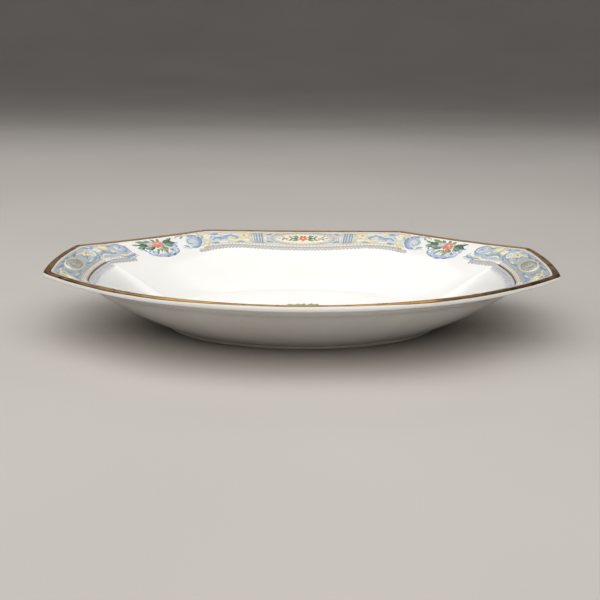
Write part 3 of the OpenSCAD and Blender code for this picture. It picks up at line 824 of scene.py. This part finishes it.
def spray(p):
    """bunch of flowers printed in the middle of the well"""
    for c, x, w, a, l, wd, b in (
            ("green", 4, 4, 35, 13, 3.4, 0.25), ("dark", 2, 5, 62, 9.5, 2.8, 0.2), ("green", -2, 5, 110, 9, 3.0, -0.2),
            ("dark", -5, 4, 138, 11, 3.0, 0.2), ("green", -7, 2, 160, 15, 3.4, 0.25), ("green", -8, -1, 186, 16, 3.2, -0.2),
            ("dark", -7, -3, 205, 12, 2.6, 0.2), ("green", -4, -5, 232, 9, 2.8, 0.2), ("dark", 0, -6, 262, 7.5, 2.6, 0.2),
            ("green", 4, -5, 300, 9, 2.8, -0.2), ("green", 8, -3, 332, 13, 3.2, 0.2), ("dark", 9, 0, 352, 12, 2.8, 0.2),
            ("green", 9, 2, 14, 14, 3.2, -0.25), ("green", 7, 4, 48, 9.5, 2.6, 0.2), ("green", -4, 6, 84, 6.5, 2.2, 0.2),
            ("olive", -12, 3, 150, 12, 1.6, 0.2), ("olive", 12, -2, 340, 13, 1.5, 0.2), ("olive", 12, 5, 24, 12, 1.5, -0.2),
            ("olive", -11, -4, 208, 12, 1.5, 0.2), ("green", -16, 5, 140, 6.5, 1.9, 0.2), ("green", 17, 5, 40, 6.5, 1.9, 0.2),
            ("green", -18, -3, 200, 6.5, 1.8, 0.2), ("green", 18, -4, 330, 6.5, 1.8, 0.2), ("green", -14, 8, 115, 4.5, 1.5, 0.2),
            ("green", 13, 8, 70, 4.2, 1.5, 0.2), ("moss", -1, 8.6, 96, 6.6, 3.8, 0.2),
            ("moss", 2.4, 9.0, 68, 7.4, 3.6, -0.2), ("moss", -4.2, 8.6, 110, 6.6, 3.6, 0.2), ("moss", 5.4, 8.8, 58, 6.6, 3.6, 0.2),
            ("moss", -6.8, 7.4, 128, 6.0, 3.0, 0.2), ("moss", 0.8, 9.2, 82, 6.2, 3.2, 0.2)):
        p.leaf(c, x, w, a, l, wd, b, n=13)
    p.flower("orange", "yellow", -1.5, 1.0, 6.2, 6, 0.3, shade_c="mauve")
    p.flower("orange", "orange", -1.5, 1.0, 3.4, 5, 0.8)
    p.flower("lilac", "yellow", 9.0, 2.0, 4.4, 6, 0.1, shade_c="blue")
    p.flower("yellow", "olive", -10.5, 0.5, 4.0, 6, 0.5, shade_c="orange")
    p.flower("lilac", "yellow", -6.5, 7.6, 2.6, 5, 0.2)
    p.flower("orange", "yellow", 5.0, 7.4, 2.6, 5, 0.4)
    p.flower("yellow", "orange", 4.6, -6.0, 3.0, 5, 0.2)
    p.flower("lilac", "yellow", -5.5, -6.6, 2.6, 5, 0.7)
    p.flower("orange", "yellow", 16.4, -1.6, 2.0, 5, 0.2)
    p.flower("lilac", "yellow", -19.4, 2.2, 2.0, 5, 0.4)
    p.flower("yellow", "orange", 19.2, 4.8, 1.8, 5, 0.1)
    p.flower("orange", "yellow", -16.6, -4.2, 1.9, 5, 0.3)
    for x, w, c in ((-23, 5.4, "orange"), (-24.4, 0.6, "blue"), (23.6, 8.0, "blue"), (24.8, 1.4, "orange"), (22.8, -6.4, "lilac"),
                    (-22.6, -7.6, "blue"), (-12.6, 11.6, "blue"), (14.4, 11.0, "lilac"), (9.8, 11.0, "orange"),
                    (0.4, -14.0, "orange"), (-9.0, -12.2, "lilac"), (9.8, -11.8, "blue"), (-5.4, 12.4, "yellow")):
        p.disc(c, x, w, 0.95, n=9)
        p.disc("green", x * 0.955, w * 0.93, 0.6, n=8, lift=-0.04)


for node, side, fn in (("border_print_left", 4, end_border), ("border_print_right", 0, end_border),
                       ("border_print_back", 2, long_border), ("border_print_front", 6, long_border)):
    pr = Print(node, side, "border_enamel")
    pr.off = 2.0 if side == 4 else 0.6 if side == 0 else 0.0
    fn(pr)
    pr.finish()
for node, side in (("bouquet_print_back_right", 1), ("bouquet_print_back_left", 3), ("bouquet_print_front_left", 5),
                   ("bouquet_print_front_right", 7)):
    pr = Print(node, side, "flower_enamel")
    pr.dx = 3.4 if side in (1, 5) else -4.4
    bouquet(pr)
    pr.finish()
pr = Print("centre_spray_print", None, "spray_enamel")
spray(pr)
pr.finish()



# ------------------------------------------------------------------ floor, light, camera
def stage_floor():
    """a pale floor that sweeps up far behind, the same in every direction"""
    prof = [(0.0, 0.0), (0.25, 0.0), (0.6, 0.0), (1.2, 0.0), (2.2, 0.0), (3.0, 0.03), (3.6, 0.16), (4.1, 0.45),
            (4.4, 0.9), (4.55, 1.5), (4.6, 2.6), (4.6, 4.2)]
    n = 96
    v, f = [(0, 0, 0)], []
    for r, z in prof[1:]:
        v += [(r * math.cos(2 * math.pi * i / n) / MM, r * math.sin(2 * math.pi * i / n) / MM, z / MM) for i in range(n)]
    f += [(0, 1 + i, 1 + (i + 1) % n) for i in range(n)]
    for j in range(len(prof) - 2):
        for i in range(n):
            a, b = 1 + j * n + i, 1 + j * n + (i + 1) % n
            f.append((a, a + n, b + n, b))
    m = material("pale_floor", srgb(184, 179, 173), srgb(191, 186, 180), 3.0, 0.62, 0.03, bump=0.00004, bump_scale=700.0)
    ob = make("floor", v, f, [m])
    return ob


stage_floor()
world = bpy.data.worlds.new("studio")
bpy.context.scene.world = world
world.use_nodes = True
world.node_tree.nodes["Background"].inputs["Color"].default_value = (0.92, 0.92, 0.94, 1)
world.node_tree.nodes["Background"].inputs["Strength"].default_value = 0.25


def area(name, loc, target, size, power, col=(1, 1, 1), size_y=None):
    d = bpy.data.lights.new(name, "AREA")
    d.shape = "RECTANGLE" if size_y else "SQUARE"
    d.size = size
    if size_y:
        d.size_y = size_y
    d.energy = power
    d.color = col
    o = bpy.data.objects.new(name, d)
    bpy.context.collection.objects.link(o)
    o.location = loc
    o.rotation_mode = "QUATERNION"
    o.rotation_quaternion = (Vector(target) - Vector(loc)).to_track_quat("-Z", "Y")
    return o


area("key_softbox", (-0.18, -0.26, 1.0), (-0.10, 0.0, 0.02), 2.7, 26.4, (1.0, 0.995, 0.99), 1.9)
area("back_strip", (0.0, 1.12, 0.68), (0, 0, 0.02), 0.9, 0.9, (1.0, 1.0, 1.0), 0.25)


# The camera stands 12 degrees above the table, a little to the right of the bowl's middle, and is turned and rolled a touch.
CAM_D, CAM_F, CAM_E, CAM_OX, CAM_OY, CAM_TH, CAM_RO = 482.5, 956.0, 11.77, 301.61, 258.7, -0.535, -0.298
e, th, ro = map(math.radians, (CAM_E, CAM_TH, CAM_RO))
pan, tilt = math.atan((CAM_OX - 300) / CAM_F), math.atan((300 - CAM_OY) / CAM_F)
turn = Matrix(((math.cos(th), -math.sin(th), 0), (math.sin(th), math.cos(th), 0), (0, 0, 1)))
look = Matrix(((1, 0, 0), (0, math.sin(e), math.cos(e)), (0, math.cos(e), -math.sin(e)))) @ turn
m_pan = Matrix(((math.cos(pan), 0, math.sin(pan)), (0, 1, 0), (-math.sin(pan), 0, math.cos(pan))))
m_tilt = Matrix(((1, 0, 0), (0, math.cos(tilt), math.sin(tilt)), (0, -math.sin(tilt), math.cos(tilt))))
m_roll = Matrix(((math.cos(ro), -math.sin(ro), 0), (math.sin(ro), math.cos(ro), 0), (0, 0, 1)))
to_cam = m_roll @ m_tilt @ m_pan @ look
cd = bpy.data.cameras.new("camera")
cam = bpy.data.objects.new("camera", cd)
bpy.context.collection.objects.link(cam)
cd.sensor_width = 36.0
cd.lens = 36.0 * CAM_F / 600.0
cd.clip_start, cd.clip_end = 0.01, 50.0
rot = Matrix((to_cam[0], to_cam[1], -to_cam[2])).transposed()
centre = Vector((0, 0, RIM_H * MM))
forward = look[2]
cam.matrix_world = Matrix.Translation(centre - Vector(forward) * CAM_D * MM) @ rot.to_4x4()
bpy.context.scene.camera = cam
bpy.context.scene.view_settings.view_transform = "Standard"
bpy.context.scene.view_settings.look = "None"
